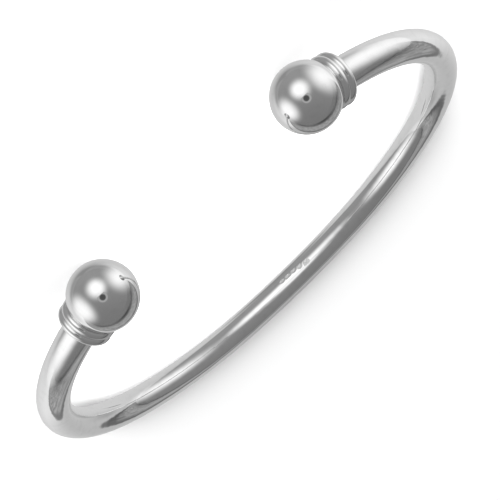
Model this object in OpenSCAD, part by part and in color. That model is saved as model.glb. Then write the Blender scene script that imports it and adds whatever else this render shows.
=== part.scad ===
// Torque bangle: an open oval of round silver rod whose two ends face each
// other, each finished with a double bead collar and a ball. It lies on its
// side as it would by itself: the two balls are thicker than the rod, so the
// bangle leans back by a few degrees onto the underside of its back.

/* [Rod] */
// Diameter of the rod
rod_d = 4; // [3:0.1:5]
// Bend radius of the middle of the back, at the rod's centreline
back_r = 53; // [45:1:70]
// Turn of the back, from its middle to one side, in degrees
back_turn = 10.4; // [8:0.2:12]
// Bend radius where the back runs out into the shoulder
shoulder_r = 30; // [28:0.5:34]
// Turn of the shoulder, in degrees
shoulder_turn = 37.7; // [34:0.1:40]
// Bend radius of the side, the tightest part
side_r = 21.4; // [20:0.2:24]
// Turn of the side, in degrees
side_turn = 38; // [34:0.5:42]
// Bend radius of the front, up to the collar
front_r = 25; // [23:0.5:27]
// Turn of the front, in degrees
front_turn = 64.4; // [58:0.2:66]

/* [Ball ends] */
// Diameter of the balls
ball_d = 8; // [7:0.1:9]
// Diameter of the peg that carries the collar and the ball
peg_d = 2.6; // [2:0.1:3]
// How far the peg reaches into the ball, past its seat
peg_reach = 2; // [1:0.1:3]

/* [Collars] */
// Diameter of the two beads of each collar
collar_d = 6.4; // [5.6:0.1:7]
// Width of one bead
bead_w = 0.92; // [0.7:0.02:1.1]
// How far a bead stands out of the groove beside it
bead_rise = 0.26; // [0.15:0.01:0.4]
// Fine line between collar and rod, and between collar and ball
seam = 0.04; // [0.02:0.01:0.1]

/* [Smoothness] */
// Turn of the rod between two of its sections, in degrees
section_turn = 3.5; // [3:0.5:8]
// Number of sides of a section of the rod
section_sides = 32; // [16:4:40]

/* [Hidden] */
$fn = 96;
SILVER = [0.86, 0.86, 0.85];

rod_r = rod_d / 2;
ball_r = ball_d / 2;
peg_r = peg_d / 2;
bore_r = peg_r + seam;

// Bends of one half of the rod, in order from the middle of the back.
// Columns: bend radius, turn
BEND_R = 0;
BEND_TURN = 1;
bends = [
    [back_r, back_turn],
    [shoulder_r, shoulder_turn],
    [side_r, side_turn],
    [front_r, front_turn],
];

// Heading of the rod where bend number i starts, 0 along the back
function heading(i) = i == 0 ? 0 : heading(i - 1) + bends[i - 1][BEND_TURN];
// Vector of a length and a heading; a growing heading turns to the front
function along(length, angle) = [length * cos(angle), -length * sin(angle)];
// Centre of bend number i as seen from the place where the rod is at that
// heading: it lies square to the rod, on the inner side
function to_centre(i, angle) = along(bends[i][BEND_R], angle + 90);
// Place where bend number i starts, with the middle of the back at 0, 0
function start(i) = i == 0 ? [0, 0]
    : start(i - 1) + to_centre(i - 1, heading(i - 1)) - to_centre(i - 1, heading(i));

// Distances along the straight end, counted from the middle of the ball
flat_at = 2.8 / 4 * ball_r;
collar_front = flat_at + seam;
collar_back = collar_front + 2 * bead_w;
shoulder_at = collar_back + seam;

end_heading = heading(len(bends));
rod_end = start(len(bends));
ball_at = rod_end + along(shoulder_at, end_heading);

// The bangle leans back until the underside of its back meets the surface
// that the balls stand on, and its box is then centred on the origin
lean = asin((ball_r - rod_r) / -ball_at[1]);
front_reach = -ball_at[1] * cos(lean) + ball_r;
back_reach = rod_r;
lift = rod_r;

// Puts a part that is drawn in the bangle's own plane, with the middle of the
// back at the origin, into its resting place
module at_rest()
    translate([0, (front_reach - back_reach) / 2, lift])
        rotate([-lean, 0, 0])
            children();

// Turns a part that is drawn along +X from the middle of a ball, towards the
// rod, onto the end of one half: side 1 on +X, side -1 on -X
module on_end(side)
    at_rest()
        mirror([side < 0 ? 1 : 0, 0, 0])
            translate([ball_at[0], ball_at[1], 0])
                rotate([0, 0, 180 - end_heading])
                    children();

// Sections of one half of the rod, from the middle of the back to the tip of
// the peg. Columns: place, heading, radius
PLACE = 0;
HEADING = 1;
RADIUS = 2;
half_sections = [
    for (i = [0 : len(bends) - 1])
        let (steps = ceil(bends[i][BEND_TURN] / section_turn))
            for (k = [0 : steps - 1])
                let (angle = heading(i) + bends[i][BEND_TURN] * k / steps)
                    [start(i) + to_centre(i, heading(i)) - to_centre(i, angle), angle, rod_r],
    [rod_end, end_heading, rod_r],
    [rod_end, end_heading, peg_r],
    [rod_end + along(shoulder_at - flat_at + peg_reach, end_heading), end_heading, peg_r],
];
// The same sections on the other side of the middle
function mirrored(section) =
    [[-section[PLACE][0], section[PLACE][1]], -section[HEADING], section[RADIUS]];
last = len(half_sections) - 1;
sections = [
    for (i = [last : -1 : 1]) mirrored(half_sections[i]),
    for (i = [0 : last]) half_sections[i],
];

// Corner number k of a section, counted from its outer side
function corner(section, k) =
    let (angle = 360 * k / section_sides,
         out = section[RADIUS] * cos(angle),
         turned = section[HEADING])
    [section[PLACE][0] + out * sin(turned),
     section[PLACE][1] + out * cos(turned),
     section[RADIUS] * sin(angle)];

// Number of corner k of section i in the list of corners
function corner_number(i, k) = i * section_sides + k % section_sides;

module rod()
    color(SILVER)
        at_rest()
            polyhedron(
                points = [for (section = sections) for (k = [0 : section_sides - 1]) corner(section, k)],
                faces = [
                    [for (k = [0 : section_sides - 1]) corner_number(0, k)],
                    for (i = [0 : len(sections) - 2])
                        for (k = [0 : section_sides - 1])
                            for (half = [0, 1])
                                half == 0
                                ? [corner_number(i, k), corner_number(i + 1, k), corner_number(i, k + 1)]
                                : [corner_number(i, k + 1), corner_number(i + 1, k),
                                   corner_number(i + 1, k + 1)],
                    [for (k = [section_sides - 1 : -1 : 0]) corner_number(len(sections) - 1, k)],
                ]);

// Profile of one bead, from the bore outwards, its left edge at 0
module bead_profile() {
    // Radius of the arc with the bead's width as chord and its rise as height
    arc_r = (pow(bead_w / 2, 2) + pow(bead_rise, 2)) / (2 * bead_rise);
    groove_r = collar_d / 2 - bead_rise;
    translate([bore_r, 0])
        square([groove_r - bore_r, bead_w]);
    intersection() {
        translate([collar_d / 2 - arc_r, bead_w / 2])
            circle(r = arc_r);
        translate([groove_r - 0.1, 0])
            square([collar_d, bead_w]);
    }
}

module collar(side)
    color(SILVER)
        on_end(side)
            translate([collar_front, 0, 0])
                rotate([0, 90, 0])
                    rotate_extrude()
                        for (i = [0, 1])
                            translate([0, i * bead_w])
                                bead_profile();

module ball(side)
    color(SILVER)
        on_end(side)
            difference() {
                sphere(r = ball_r);
                translate([flat_at, -ball_r, -ball_r])
                    cube(2 * ball_r);
                translate([flat_at - peg_reach - seam, 0, 0])
                    rotate([0, 90, 0])
                        cylinder(r = bore_r, h = ball_r);
            }

module collar_left() collar(-1);
module collar_right() collar(1);
module ball_left() ball(-1);
module ball_right() ball(1);

rod();
collar_left();
collar_right();
ball_left();
ball_right();
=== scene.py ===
import math

import bpy
from mathutils import Matrix, Vector


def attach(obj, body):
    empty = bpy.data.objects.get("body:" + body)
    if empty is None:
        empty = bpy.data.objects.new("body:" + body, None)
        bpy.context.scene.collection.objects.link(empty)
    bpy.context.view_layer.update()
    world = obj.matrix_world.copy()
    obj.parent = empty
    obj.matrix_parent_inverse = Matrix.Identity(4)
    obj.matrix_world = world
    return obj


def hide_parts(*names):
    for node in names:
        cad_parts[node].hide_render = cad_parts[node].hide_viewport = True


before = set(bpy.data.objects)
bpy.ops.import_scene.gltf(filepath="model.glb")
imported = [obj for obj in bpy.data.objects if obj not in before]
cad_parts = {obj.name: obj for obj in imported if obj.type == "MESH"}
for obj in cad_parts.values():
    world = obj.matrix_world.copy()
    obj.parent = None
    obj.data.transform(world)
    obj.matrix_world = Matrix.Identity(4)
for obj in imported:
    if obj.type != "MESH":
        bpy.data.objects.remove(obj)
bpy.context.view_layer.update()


# Camera
# It stands before the mouth of the bangle, a little above the floor, and looks at the two balls
# and past them at the inner side of the back. The bangle was photographed from overhead while
# it stood on its back, so for the same view of one that lies down the camera is rolled far over.
MM = 0.001  # sizes and places are in millimetres
LENS = 94.38
AIM = Vector((1.015, -0.201, 3.517))
DISTANCE = 161.91
ELEVATION = math.radians(19.86)
HEADING = math.radians(1.503)
ROLL = math.radians(136.24)
NEAREST, FURTHEST = 10, 20000  # what the camera sees at all

forward = Vector((
    math.sin(HEADING) * math.cos(ELEVATION),
    math.cos(HEADING) * math.cos(ELEVATION),
    -math.sin(ELEVATION),
))
level_right = Vector((math.cos(HEADING), -math.sin(HEADING), 0))
level_up = level_right.cross(forward)
picture_right = level_right * math.cos(ROLL) + level_up * math.sin(ROLL)
picture_up = level_up * math.cos(ROLL) - level_right * math.sin(ROLL)
camera_at = AIM - forward * DISTANCE

camera_data = bpy.data.cameras.new("camera")
camera_data.lens = LENS
camera_data.clip_start = NEAREST * MM
camera_data.clip_end = FURTHEST * MM
camera = bpy.data.objects.new("camera", camera_data)
camera_turn = Matrix((picture_right, picture_up, -forward)).transposed().to_4x4()
camera.matrix_world = Matrix.Translation(camera_at * MM) @ camera_turn
bpy.context.scene.collection.objects.link(camera)
bpy.context.scene.camera = camera
bpy.context.scene.view_settings.view_transform = "Standard"


# Rod
# The hoop is one length of round silver rod, bent to an oval that is open at the front. It is
# polished all over, and each end is turned down to a peg that carries the collar and the ball.
# A row of small punches, filled with a plain chequer, is struck on the inner side of the back.
ROD_R = 2.0
PEG_R = 1.3
BENDS = (  # bend radius and turn, from the middle of the back to one end
    (53.0, math.radians(10.4)),
    (30.0, math.radians(37.7)),
    (21.4, math.radians(38.0)),
    (25.0, math.radians(64.4)),
)
BALL_R = 4.0
FLAT_AT = 2.8  # from the middle of a ball to the flat that its collar is seated on
SEAM = 0.04
BEAD_W = 0.92
SHOULDER_AT = FLAT_AT + SEAM + 2 * BEAD_W + SEAM
PEG_TIP_AT = 0.8  # from the middle of a ball to the tip of the peg inside it
HALF_LENGTH = sum(radius * angle for radius, angle in BENDS)


def route(along):
    """Place and heading of the rod at a distance along it from the middle of the back."""
    side = 1 if along >= 0 else -1
    left = abs(along)
    x = y = heading = 0.0
    for radius, angle in BENDS:
        angle = min(angle, left / radius)
        x += radius * (math.sin(heading + angle) - math.sin(heading))
        y -= radius * (math.cos(heading) - math.cos(heading + angle))
        heading += angle
        left = max(0.0, left - radius * angle)
    x += left * math.cos(heading)
    y -= left * math.sin(heading)
    return side * x, y, side * heading


end_x, end_y, end_heading = route(HALF_LENGTH)
ball_x = end_x + SHOULDER_AT * math.cos(end_heading)
ball_y = end_y - SHOULDER_AT * math.sin(end_heading)

# The bangle leans back, because the balls are thicker than the rod
lean = math.asin((BALL_R - ROD_R) / -ball_y)
back_y = (-ball_y * math.cos(lean) + BALL_R - ROD_R) / 2
at_rest = Matrix.Translation((0, back_y, ROD_R)) @ Matrix.Rotation(-lean, 4, "X")

PUNCH_DEPTH = 0.03
PUNCH_EDGE = 0.2  # width of the slope at the edge of a punch
PUNCH_LEAN = 0.3  # share of the way that a punch leans over to the middle of the inner side
CUT_CORNERS = 1.45  # the lower, the more the corners of a cut punch are taken off
SHIELD_FOOT = 1.3  # the lower, the narrower the foot of a shield punch is
CHEQUER = 0.3  # pitch of the chequer
CHEQUER_RISE = 0.024
PUNCHES = (  # place along the rod and below the middle of the inner side, length, height, form
    (1.45, 0.52, 0.82, 0.60, "oval"),
    (0.35, 0.52, 0.80, 0.60, "shield"),
    (-0.80, 0.46, 0.85, 0.62, "oval"),
    (-1.88, 0.22, 0.78, 0.70, "cut"),
    (-3.00, -0.20, 1.10, 1.40, "oval"),
)


def smooth(value):
    value = min(1.0, max(0.0, value))
    return value * value * (3 - 2 * value)


def punch_depth(along, below):
    """How deep the surface is struck in, at a place on the inner side of the rod."""
    depth = 0.0
    for at, down, length, height, form in PUNCHES:
        u = abs(along - at) / (length / 2)
        v = (below - down) / (height / 2)
        if form == "oval":
            out = math.hypot(u, v)
        elif form == "cut":
            out = max(u, abs(v), (u + abs(v)) / CUT_CORNERS)
        else:
            out = max(u, abs(v), (u + max(0.0, v)) / SHIELD_FOOT)
        sunk = smooth((1 - out) * height / 2 / PUNCH_EDGE + 0.5)
        struck_from = PUNCH_LEAN * down / ROD_R
        flat = (ROD_R - PUNCH_DEPTH) * math.cos(down / ROD_R - struck_from)
        waves = math.cos(2 * math.pi * (along - at) / CHEQUER)
        waves *= math.cos(2 * math.pi * (below - down) / CHEQUER)
        struck = ROD_R - flat / math.cos(below / ROD_R - struck_from) - CHEQUER_RISE * waves
        depth = max(depth, sunk * struck)
    return depth


RING_STEP = 0.8  # between two rings of the rod's mesh, and between two places round a ring
SIDE_STEP = math.radians(4)
FINE_STEP = 0.035  # the same where it is punched
FINE_SIDE_STEP = math.radians(1.1)
FINE_FROM, FINE_TO = -3.8, 2.1
FINE_SIDES = math.radians(30)


def spread(start, stop, step):
    """Even places from start up to, and without, stop, no further apart than step."""
    count = math.ceil((stop - start) / step)
    return [start + (stop - start) * i / count for i in range(count)]


places = (
    spread(-HALF_LENGTH, FINE_FROM, RING_STEP)
    + spread(FINE_FROM, FINE_TO, FINE_STEP)
    + spread(FINE_TO, HALF_LENGTH, RING_STEP)
    + [HALF_LENGTH]
)
sides = (
    spread(0, math.pi - FINE_SIDES, SIDE_STEP)
    + spread(math.pi - FINE_SIDES, math.pi + FINE_SIDES, FINE_SIDE_STEP)
    + spread(math.pi + FINE_SIDES, 2 * math.pi, SIDE_STEP)
)


def rod_corner(along, side, radius):
    """Place of a point of the bent rod, in the resting bangle."""
    x, y, heading = route(along)
    out = radius * math.cos(side)
    place = (x + out * math.sin(heading), y + out * math.cos(heading), radius * math.sin(side))
    return at_rest @ Vector(place)


peg_end = HALF_LENGTH + SHOULDER_AT - PEG_TIP_AT
rings = [(-peg_end, PEG_R), (-HALF_LENGTH, PEG_R)]
rings += [(along, ROD_R) for along in places]
rings += [(HALF_LENGTH, PEG_R), (peg_end, PEG_R)]

corners = []
bench = []  # the same points on the straight rod at the bench, before it was bent
for along, radius in rings:
    for side in sides:
        sunk = 0.0
        if FINE_FROM < along < FINE_TO and abs(side - math.pi) < FINE_SIDES:
            sunk = punch_depth(along, (side - math.pi) * ROD_R)
        corners.append(rod_corner(along, side, radius - sunk))
        bench.append(Vector((along, radius * math.cos(side), radius * math.sin(side))))

count = len(sides)
faces = []
for ring in range(len(rings) - 1):
    a = ring * count
    b = a + count
    faces += [(a + k, b + k, b + (k + 1) % count, a + (k + 1) % count) for k in range(count)]
faces.append(tuple(range(count)))
faces.append(tuple((len(rings) - 1) * count + k for k in reversed(range(count))))

SHARP_OVER = math.radians(40)


def piece(name, corners, faces, bench):
    """A solid piece of metal, smooth except at its crisp edges, from places in millimetres."""
    mesh = bpy.data.meshes.new(name)
    mesh.from_pydata([corner * MM for corner in corners], [], faces)
    mesh.shade_smooth()
    mesh.set_sharp_from_angle(angle=SHARP_OVER)
    kept = mesh.attributes.new("bench", "FLOAT_VECTOR", "POINT")
    kept.data.foreach_set("vector", [value for place in bench for value in place])
    made = bpy.data.objects.new(name, mesh)
    bpy.context.scene.collection.objects.link(made)
    return made


rod = piece("silver_rod", corners, faces, bench)


class Socket:
    """One output of a shader node, with the usual operators on it."""

    def __init__(self, tree, output):
        self.tree = tree
        self.output = output

    def __add__(self, other):
        return self.tree.math("ADD", self, other)

    def __sub__(self, other):
        return self.tree.math("SUBTRACT", self, other)

    def __rsub__(self, other):
        return self.tree.math("SUBTRACT", other, self)

    def __mul__(self, other):
        return self.tree.math("MULTIPLY", self, other)

    def __truediv__(self, other):
        return self.tree.math("DIVIDE", self, other)

    def __rtruediv__(self, other):
        return self.tree.math("DIVIDE", other, self)

    def __pow__(self, other):
        return self.tree.math("POWER", self, other)

    def __rpow__(self, other):
        return self.tree.math("POWER", other, self)

    def __abs__(self):
        return self.tree.math("ABSOLUTE", self)

    __radd__ = __add__
    __rmul__ = __mul__


def grey(tone):
    return (tone, tone, tone, 1)


class Tree:
    """The nodes of one material or of the world."""

    def __init__(self, owner):
        owner.use_nodes = True
        self.nodes = owner.node_tree.nodes
        self.links = owner.node_tree.links
        self.nodes.clear()

    def node(self, kind, settings, sockets, out=0):
        """Adds a node, sets its settings, then the values and links of its sockets. The stops of a
        ramp are a setting too, each a place from 0 to 1 and a grey tone."""
        made = self.nodes.new(kind)
        for name, value in settings.items():
            if name == "stops":
                stops = made.color_ramp.elements
                while len(stops) < len(value):
                    stops.new(0.5)
                for stop, (at, tone) in zip(stops, value):
                    stop.position = at
                    stop.color = grey(tone)
            else:
                setattr(made, name, value)
        for key, value in sockets.items():
            if isinstance(value, Socket):
                self.links.new(value.output, made.inputs[key])
            else:
                made.inputs[key].default_value = value
        return Socket(self, made.outputs[out]) if len(made.outputs) else None

    def math(self, operation, *values):
        return self.node("ShaderNodeMath", {"operation": operation}, dict(enumerate(values)))

    def noise(self, where, scale, detail):
        return self.node("ShaderNodeTexNoise", {}, {"Vector": where, "Scale": scale, "Detail": detail})

    def along(self, where, axis):
        return self.node("ShaderNodeSeparateXYZ", {}, {0: where}, out=axis)

    def step(self, value, start, stop):
        """Rises smoothly from 0 at start to 1 at stop."""
        return self.node(
            "ShaderNodeMapRange", {"interpolation_type": "SMOOTHSTEP"},
            {"Value": value, "From Min": start, "From Max": stop},
        )


MIX_SHARE, MIX_FIRST, MIX_SECOND, MIX_RESULT = 0, 6, 7, 2  # the sockets of a Mix node for colours
BRIGHT, DULLED = grey(0.95), grey(0.89)
POLISH = 0.03
DULL_SCALE, DULL_FROM, DULL_TO = 0.9, 0.45, 0.75
DULL_SHARE, DULL_ROUGHNESS = 0.7, 0.03  # how far a dull patch dulls the colour and the polish
HAIRLINE_HEIGHT, HAIRLINES_FROM, HAIRLINES_TO = 0.0006, 0.58, 0.70
HAIRLINE_SHARE, HAIRLINE_ROUGHNESS = 0.3, 0.05
GRAIN_SCALE, GRAIN_FROM, GRAIN_TO = 4.0, 40, 56  # it begins and is full so far from the middle


def silver(name, wave, wave_scale, stretch, grain=0.0):
    """Polished silver with the low waves, in mm, that bending and filing leave, dull patches where it
    was handled, and the hairlines of the polishing mop, which run along the short way of stretch.
    Where it was bent the most, grain is the height of the coarse skin that the bending raised."""
    made = bpy.data.materials.new(name)
    tree = Tree(made)
    bench = tree.node("ShaderNodeAttribute", {"attribute_name": "bench"}, {}, out="Vector")
    waves = tree.noise(bench, wave_scale, 1.0)
    dull = tree.step(tree.noise(bench, DULL_SCALE, 3.0), DULL_FROM, DULL_TO)
    mopped = tree.node("ShaderNodeVectorMath", {"operation": "MULTIPLY"}, {0: bench, 1: stretch})
    hairlines = tree.noise(mopped, 1.0, 2.0)
    scratched = tree.step(hairlines, HAIRLINES_FROM, HAIRLINES_TO)
    bent = tree.step(abs(tree.along(bench, "X")), GRAIN_FROM, GRAIN_TO)
    skin = tree.noise(bench, GRAIN_SCALE, 2.0) * bent
    height = waves * wave + hairlines * HAIRLINE_HEIGHT + skin * grain
    relief = tree.node("ShaderNodeBump", {}, {"Strength": 1.0, "Distance": MM, "Height": height})
    colour = tree.node("ShaderNodeMix", {"data_type": "RGBA"}, {
        MIX_SHARE: dull * DULL_SHARE + scratched * HAIRLINE_SHARE,
        MIX_FIRST: BRIGHT,
        MIX_SECOND: DULLED,
    }, out=MIX_RESULT)
    shader = tree.node("ShaderNodeBsdfPrincipled", {}, {
        "Base Color": colour,
        "Metallic": 1.0,
        "Roughness": POLISH + dull * DULL_ROUGHNESS + scratched * HAIRLINE_ROUGHNESS,
        "Normal": relief,
    })
    tree.node("ShaderNodeOutputMaterial", {}, {"Surface": shader})
    return made


rod.data.materials.append(
    silver("polished_rod", wave=0.018, wave_scale=0.55, stretch=(0.25, 9.0, 9.0), grain=0.002)
)
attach(rod, "root")
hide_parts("rod")


# Collars
# Each collar is a short turned sleeve with two rounded beads, pushed onto the peg up to the
# shoulder of the rod. The groove between its beads is left bright.
COLLAR_R = 3.2
BEAD_RISE = 0.26
BORE_R = PEG_R + SEAM
BEAD_STEPS = 14
COLLAR_SIDES = 128

bead_arc_r = ((BEAD_W / 2) ** 2 + BEAD_RISE ** 2) / (2 * BEAD_RISE)
bead_half_turn = math.asin(BEAD_W / 2 / bead_arc_r)
collar_profile = [(BORE_R, 0.0)]
for bead in range(2):
    for step in range(BEAD_STEPS + 1):
        angle = bead_half_turn * (2 * step / BEAD_STEPS - 1)
        collar_profile.append((
            COLLAR_R - bead_arc_r + bead_arc_r * math.cos(angle),
            bead * BEAD_W + BEAD_W / 2 + bead_arc_r * math.sin(angle),
        ))
collar_profile.append((BORE_R, 2 * BEAD_W))


def turned(name, place, profile, sides, closed):
    """A piece turned on the lathe: profile holds radius and distance along the axis of place. It is
    closed to a ring, or else has a flat face at each end."""
    bench = []
    for radius, along in profile:
        for k in range(sides):
            angle = 2 * math.pi * k / sides
            bench.append(Vector((along, radius * math.cos(angle), radius * math.sin(angle))))
    faces = []
    for i in range(len(profile) if closed else len(profile) - 1):
        a = i * sides
        b = (i + 1) % len(profile) * sides
        faces += [(a + k, a + (k + 1) % sides, b + (k + 1) % sides, b + k) for k in range(sides)]
    if not closed:
        faces.append(tuple(reversed(range(sides))))
        faces.append(tuple((len(profile) - 1) * sides + k for k in range(sides)))
    return piece(name, [place @ corner for corner in bench], faces, bench)


def on_end(side, along):
    """Place on one end of the rod, at a distance from the middle of the ball, facing the rod."""
    heading = end_heading if side < 0 else math.pi - end_heading
    return (
        at_rest
        @ Matrix.Translation((side * ball_x, ball_y, 0))
        @ Matrix.Rotation(heading, 4, "Z")
        @ Matrix.Translation((along, 0, 0))
    )


ENDS = ((-1, "left"), (1, "right"))
collar_silver = silver("polished_collar", wave=0.004, wave_scale=0.8, stretch=(14.0, 0.5, 0.5))
for side, word in ENDS:
    place = on_end(side, FLAT_AT + SEAM)
    collar = turned("silver_collar_" + word, place, collar_profile, COLLAR_SIDES, True)
    collar.data.materials.append(collar_silver)
    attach(collar, "root")
    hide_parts("collar_" + word)


# Balls
# Solid silver balls, bored for the peg that they are fixed on, flattened where they are seated on
# the collar, and polished to an even mirror.
BALL_SIDES = 160
BALL_STEPS = 80
BALL_TIP_R = 0.002  # of the tiny flat that closes the mesh at the very front

flat_turn = math.acos(FLAT_AT / BALL_R)
ball_profile = [(BORE_R, PEG_TIP_AT - SEAM), (BORE_R, FLAT_AT)]
for step in range(BALL_STEPS):
    angle = flat_turn + (math.pi - flat_turn) * step / BALL_STEPS
    ball_profile.append((BALL_R * math.sin(angle), BALL_R * math.cos(angle)))
ball_profile.append((BALL_TIP_R, -BALL_R))

ball_silver = silver("polished_ball", wave=0.004, wave_scale=0.5, stretch=(1.5, 1.0, 12.0))
for side, word in ENDS:
    ball = turned("silver_ball_" + word, on_end(side, 0), ball_profile, BALL_SIDES, False)
    ball.data.materials.append(ball_silver)
    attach(ball, "root")
    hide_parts("ball_" + word)


# Floor
# The bangle lies on a large sheet of plain pale card. The silver doesn't mirror that, but the
# studio in which the bangle was photographed.
FLOOR_HALF = 1500
FLOOR_TONE = 0.92
SQUARE = ((-1, -1), (1, -1), (1, 1), (-1, 1))

floor_mesh = bpy.data.meshes.new("floor")
floor_corners = [(x * FLOOR_HALF * MM, y * FLOOR_HALF * MM, 0) for x, y in SQUARE]
floor_mesh.from_pydata(floor_corners, [], [(0, 1, 2, 3)])
floor = bpy.data.objects.new("floor", floor_mesh)
bpy.context.scene.collection.objects.link(floor)
floor_paint = bpy.data.materials.new("pale_card")
tree = Tree(floor_paint)
shader = tree.node("ShaderNodeBsdfDiffuse", {}, {"Color": grey(FLOOR_TONE)})
tree.node("ShaderNodeOutputMaterial", {}, {"Surface": shader})
floor_mesh.materials.append(floor_paint)
floor.visible_glossy = False


# Studio
# The silver alone mirrors three round softboxes, the lens, a small reflector, a white card behind
# the back, which turns to a dark line and then to mottled grey toward one end and carries a painted
# shadow of the bangle, a narrow dark panel on it that paints the shade of the back, and a dim room.
# The panels glow, their light and shade painted on. A low soft key light and a flat lamp light the
# floor alone.
def across(right, down, ahead):
    """A direction as the picture shows it."""
    return picture_right * right - picture_up * down + forward * ahead


def mirror_panel(name, place, facing, level, half_sizes, reach, paint):
    """A flat panel that only the silver sees, from its front. paint gives, for a place on it in
    half widths and half heights, its brightness and how much of it there is."""
    mesh = bpy.data.meshes.new(name)
    mesh.from_pydata([(x * reach, y * reach, 0) for x, y in SQUARE], [], [(0, 1, 2, 3)])
    panel = bpy.data.objects.new(name, mesh)
    bpy.context.scene.collection.objects.link(panel)
    front = facing.normalized()
    side = (level - front * level.dot(front)).normalized()
    turn = Matrix((side, front.cross(side), front)).transposed().to_4x4()
    half_width, half_height = half_sizes
    stretch = Matrix.Diagonal((half_width * MM, half_height * MM, MM, 1))
    panel.matrix_world = Matrix.Translation(place * MM) @ turn @ stretch
    panel.visible_camera = False
    panel.visible_diffuse = False
    panel.visible_shadow = False
    paper = bpy.data.materials.new(name)
    tree = Tree(paper)
    brightness, cover = paint(tree, tree.node("ShaderNodeTexCoord", {}, {}, out="Object"))
    behind = tree.node("ShaderNodeNewGeometry", {}, {}, out="Backfacing")
    light = tree.node("ShaderNodeEmission", {}, {"Color": brightness})
    clear = tree.node("ShaderNodeBsdfTransparent", {}, {})
    shown = tree.node("ShaderNodeMixShader", {}, {0: cover * (1 - behind), 1: clear, 2: light})
    tree.node("ShaderNodeOutputMaterial", {}, {"Surface": shown})
    mesh.materials.append(paper)


def from_middle(tree, where):
    return tree.node("ShaderNodeVectorMath", {"operation": "LENGTH"}, {0: where}, out="Value")


def soft_round(tone, falloff, cover=1.0):
    """A round patch that fades to half its cover at 1, the more sharply the higher falloff is."""
    def paint(tree, where):
        return grey(tone), cover * 0.5 ** (from_middle(tree, where) ** falloff)
    return paint


def sharp_round(tone, edge):
    """A round patch that ends at 1. edge is the width over which it fades before that."""
    def paint(tree, where):
        return grey(tone), 1 - tree.step(from_middle(tree, where), 1 - edge, 1)
    return paint


BALLS_AT = (-5, -6, 140)  # places and directions here are right, down and ahead of the camera
SOFTBOXES = (  # place, half sizes, turn of the wider way, brightness, falloff
    ("softbox_near", (-51.8, -58.8, 12.8), (67, 65), 41, 1.15, 2.8),
    ("softbox_right", (73, -102, 121), (78, 65), 3, 1.04, 2.2),
    ("softbox_left", (-138, 93, 103), (92, 79), 42, 1.08, 2.8),
)
SOFTBOX_STANDS = (0.3, 1, 0.2)  # the way that its height runs before the turn
SOFTBOX_REACH = 2.2
for name, place, half_sizes, turned_by, tone, falloff in SOFTBOXES:
    place = camera_at + across(*place)
    facing = (camera_at + across(*BALLS_AT) - place).normalized()
    level = facing.cross(across(*SOFTBOX_STANDS))
    level.rotate(Matrix.Rotation(math.radians(turned_by), 3, facing))
    paint = soft_round(tone, falloff)
    mirror_panel(name, place, facing, level, half_sizes, SOFTBOX_REACH, paint)

LENS_AT = (-0.7, 10, -18)
LENS_PARTS = (  # radius, how far ahead it stands, brightness, width of its edge
    ("lens_rim", 50, 0, 0.37, 0.2),
    ("lens_glass", 32, 1, 0.075, 0.4),
)
lens_at = camera_at + across(*LENS_AT)
for name, radius, ahead, tone, edge in LENS_PARTS:
    place = lens_at + forward * ahead
    paint = sharp_round(tone, edge)
    mirror_panel(name, place, forward, picture_right, (radius, radius), 1, paint)

# A small reflector inside the hoop keeps the lens out of the back's long streak of light
REFLECTOR_BEFORE = -0.5  # the place along the rod that it stands before
REFLECTOR_SHARE = 0.04  # of the way from there to the lens
REFLECTOR_SHIFT = (-0.3, -0.3, 0)
REFLECTOR_LEVEL = (0.7, -0.7, 0)
REFLECTOR_HALF = (3.6, 1.7)
REFLECTOR_REACH = 2
REFLECTOR_TONE, REFLECTOR_FALLOFF = 0.95, 4
back_at = rod_corner(REFLECTOR_BEFORE, math.pi, ROD_R)
reflector_at = back_at.lerp(lens_at, REFLECTOR_SHARE) + across(*REFLECTOR_SHIFT)
mirror_panel(
    "reflector", reflector_at, back_at - lens_at, across(*REFLECTOR_LEVEL), REFLECTOR_HALF,
    REFLECTOR_REACH, soft_round(REFLECTOR_TONE, REFLECTOR_FALLOFF),
)

CARD_AT = (5.8, 5.2, 190.7)
CARD_FACES = (-0.109, -0.056, -1)
CARD_ENDS_TOWARD = (0.713, 0.701, 0)
CARD_REACH = 1500
CARD_TONES = (  # distance from the middle of the back toward the card's end, and brightness
    (-190, 0.27), (-150, 0.34), (-110, 0.46), (-60, 0.57), (-20, 0.63), (0, 0.68), (17.5, 0.66),
    (19.5, 0.20), (22, 0.20), (25, 0.34), (87, 0.32), (96, 0.19), (260, 0.19),
)
# Of these soft shades, the first two paint the bangle's shadow on the card beside its back
CARD_SHADES = (  # middle, half sizes across and along the back, and depth of each soft shade
    ((6, 0), (8, 14), 0.40),
    ((24, 0), (5, 24), 0.50),
    ((12, -34), (13, 20), 0.26),
    ((12, 34), (13, 20), 0.26),
    ((145, 0), (38, 60), 0.65),
    ((95, -150), (32, 60), 0.45),
    ((82, 120), (36, 55), 0.50),
)
CARD_SIDES_FROM, CARD_SIDES_TO, CARD_SIDES_LIFT = 30, 90, 0.2
GREY_END_FROM, GREY_END_TO = 20, 27  # where the white card ends and its mottled grey end begins
GREY_END_MOTTLE_SCALE, GREY_END_MOTTLE_CONTRAST = 0.13, 1.8


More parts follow.
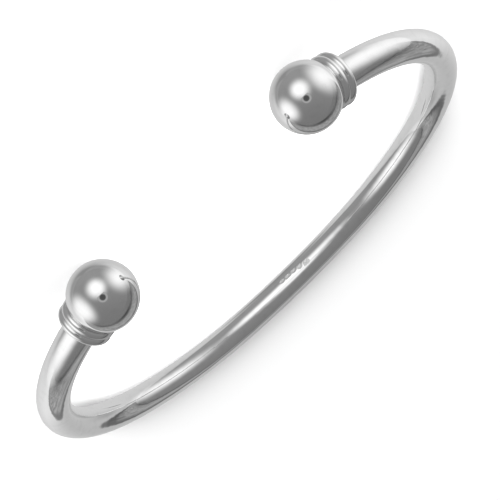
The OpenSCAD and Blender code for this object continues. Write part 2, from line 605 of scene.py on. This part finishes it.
def card_light(tree, where):
    toward_end = tree.along(where, "X")
    sideways = tree.along(where, "Y")
    first, last = CARD_TONES[0][0], CARD_TONES[-1][0]
    stops = [((at - first) / (last - first), tone) for at, tone in CARD_TONES]
    share = (toward_end - first) / (last - first)
    tone = tree.node("ShaderNodeValToRGB", {"stops": stops}, {0: share})
    grey_end = tree.step(toward_end, GREY_END_FROM, GREY_END_TO)
    lift = CARD_SIDES_LIFT * tree.step(abs(sideways), CARD_SIDES_FROM, CARD_SIDES_TO) * (1 - grey_end)
    grain = GREY_END_MOTTLE_CONTRAST * (tree.noise(where, GREY_END_MOTTLE_SCALE, 3.0) - 0.5) * grey_end
    tone = tone * (1 + lift + grain)
    for (x, y), (half_x, half_y), depth in CARD_SHADES:
        spread_x = ((toward_end - x) / half_x) ** 2
        spread_y = ((sideways - y) / half_y) ** 2
        tone = tone * (1 - depth * 0.5 ** (spread_x + spread_y))
    return tone, 1


card_at = camera_at + across(*CARD_AT)
card_level = across(*CARD_ENDS_TOWARD)
mirror_panel("card", card_at, across(*CARD_FACES), card_level, (1, 1), CARD_REACH, card_light)

# Painted shade: a narrow dark panel upright on the card, close above the middle of the back
BACK_SHADE_AT = (-1.6, -2.0, 189.2)
BACK_SHADE_FACES = (0.713, 0.701, 0)
BACK_SHADE_LEVEL = (0.701, -0.713, 0)
BACK_SHADE_HALF = (8, 2.9)
BACK_SHADE_REACH = 1.8
BACK_SHADE_TONE, BACK_SHADE_FALLOFF, BACK_SHADE_COVER = 0.22, 4, 0.9
mirror_panel(
    "back_painted_shade", camera_at + across(*BACK_SHADE_AT), across(*BACK_SHADE_FACES), across(*BACK_SHADE_LEVEL),
    BACK_SHADE_HALF, BACK_SHADE_REACH, soft_round(BACK_SHADE_TONE, BACK_SHADE_FALLOFF, BACK_SHADE_COVER),
)

# The room is dim all round. Past the card it is lighter overhead and below.
ROOM_TONE = 0.245
ROOM_CHANGE = (-0.02, -0.05, 0)  # of that tone to the right, downward and ahead
PAST_CARD_TONE = 0.24
PAST_CARD_FROM, PAST_CARD_TO = -0.12, -0.25
OVERHEAD_FROM, OVERHEAD_TO, OVERHEAD_LIFT = 0.62, 0.80, 0.52
BELOW_FROM, BELOW_TO, BELOW_LIFT = 0.0, -0.12, 0.34
AMBIENT = 0.49  # what lights the floor from all sides
world = bpy.data.worlds.new("room")
bpy.context.scene.world = world
tree = Tree(world)
direction = tree.node("ShaderNodeTexCoord", {}, {}, out="Generated")


def toward(aim):
    """How far the direction that is looked in runs along aim."""
    sockets = {0: direction, 1: aim}
    return tree.node("ShaderNodeVectorMath", {"operation": "DOT_PRODUCT"}, sockets, out="Value")


dim = ROOM_TONE + toward(across(*ROOM_CHANGE))
upward = toward(Vector((0, 0, 1)))
overhead = tree.step(upward, OVERHEAD_FROM, OVERHEAD_TO)
below = tree.step(upward, BELOW_FROM, BELOW_TO)
far_room = PAST_CARD_TONE + OVERHEAD_LIFT * overhead + BELOW_LIFT * below
past_card = tree.step(toward(across(*CARD_FACES)), PAST_CARD_FROM, PAST_CARD_TO)
room = dim * (1 - past_card) + far_room * past_card
mirrored = tree.node("ShaderNodeBackground", {}, {"Color": room})
plain = tree.node("ShaderNodeBackground", {}, {"Color": grey(1)})
ambient = tree.node("ShaderNodeBackground", {}, {"Color": grey(AMBIENT)})
is_mirror = tree.node("ShaderNodeLightPath", {}, {}, out="Is Glossy Ray")
is_diffuse = tree.node("ShaderNodeLightPath", {}, {}, out="Is Diffuse Ray")
lit = tree.node("ShaderNodeMixShader", {}, {0: is_diffuse, 1: plain, 2: ambient})
shown = tree.node("ShaderNodeMixShader", {}, {0: is_mirror, 1: lit, 2: mirrored})
tree.node("ShaderNodeOutputWorld", {}, {"Surface": shown})

# The key light comes low over the mouth and throws the shadow of the back far out behind it, and a
# flat lamp, as high as the balls, keeps the floor inside the hoop white
KEY_ELEVATION = math.radians(10.5)
KEY_SOFTNESS = math.radians(15)
KEY_STRENGTH = 11.0
key_data = bpy.data.lights.new("key", "SUN")
key_data.energy = KEY_STRENGTH
key_data.angle = KEY_SOFTNESS
key = bpy.data.objects.new("key", key_data)
key_comes_from = Vector((0, -math.cos(KEY_ELEVATION), math.sin(KEY_ELEVATION)))
key.rotation_mode = "QUATERNION"
key.rotation_quaternion = key_comes_from.to_track_quat("Z", "Y")
key.visible_glossy = False
bpy.context.scene.collection.objects.link(key)

LAMP_AT = (0, 0, 8.5)
LAMP_LENGTH, LAMP_WIDTH = 62, 48
LAMP_POWER = 0.018
lamp_data = bpy.data.lights.new("lamp", "AREA")
lamp_data.shape = "ELLIPSE"
lamp_data.size = LAMP_LENGTH * MM
lamp_data.size_y = LAMP_WIDTH * MM
lamp_data.energy = LAMP_POWER
lamp = bpy.data.objects.new("lamp", lamp_data)
lamp.location = Vector(LAMP_AT) * MM
lamp.visible_camera = False
lamp.visible_glossy = False
bpy.context.scene.collection.objects.link(lamp)
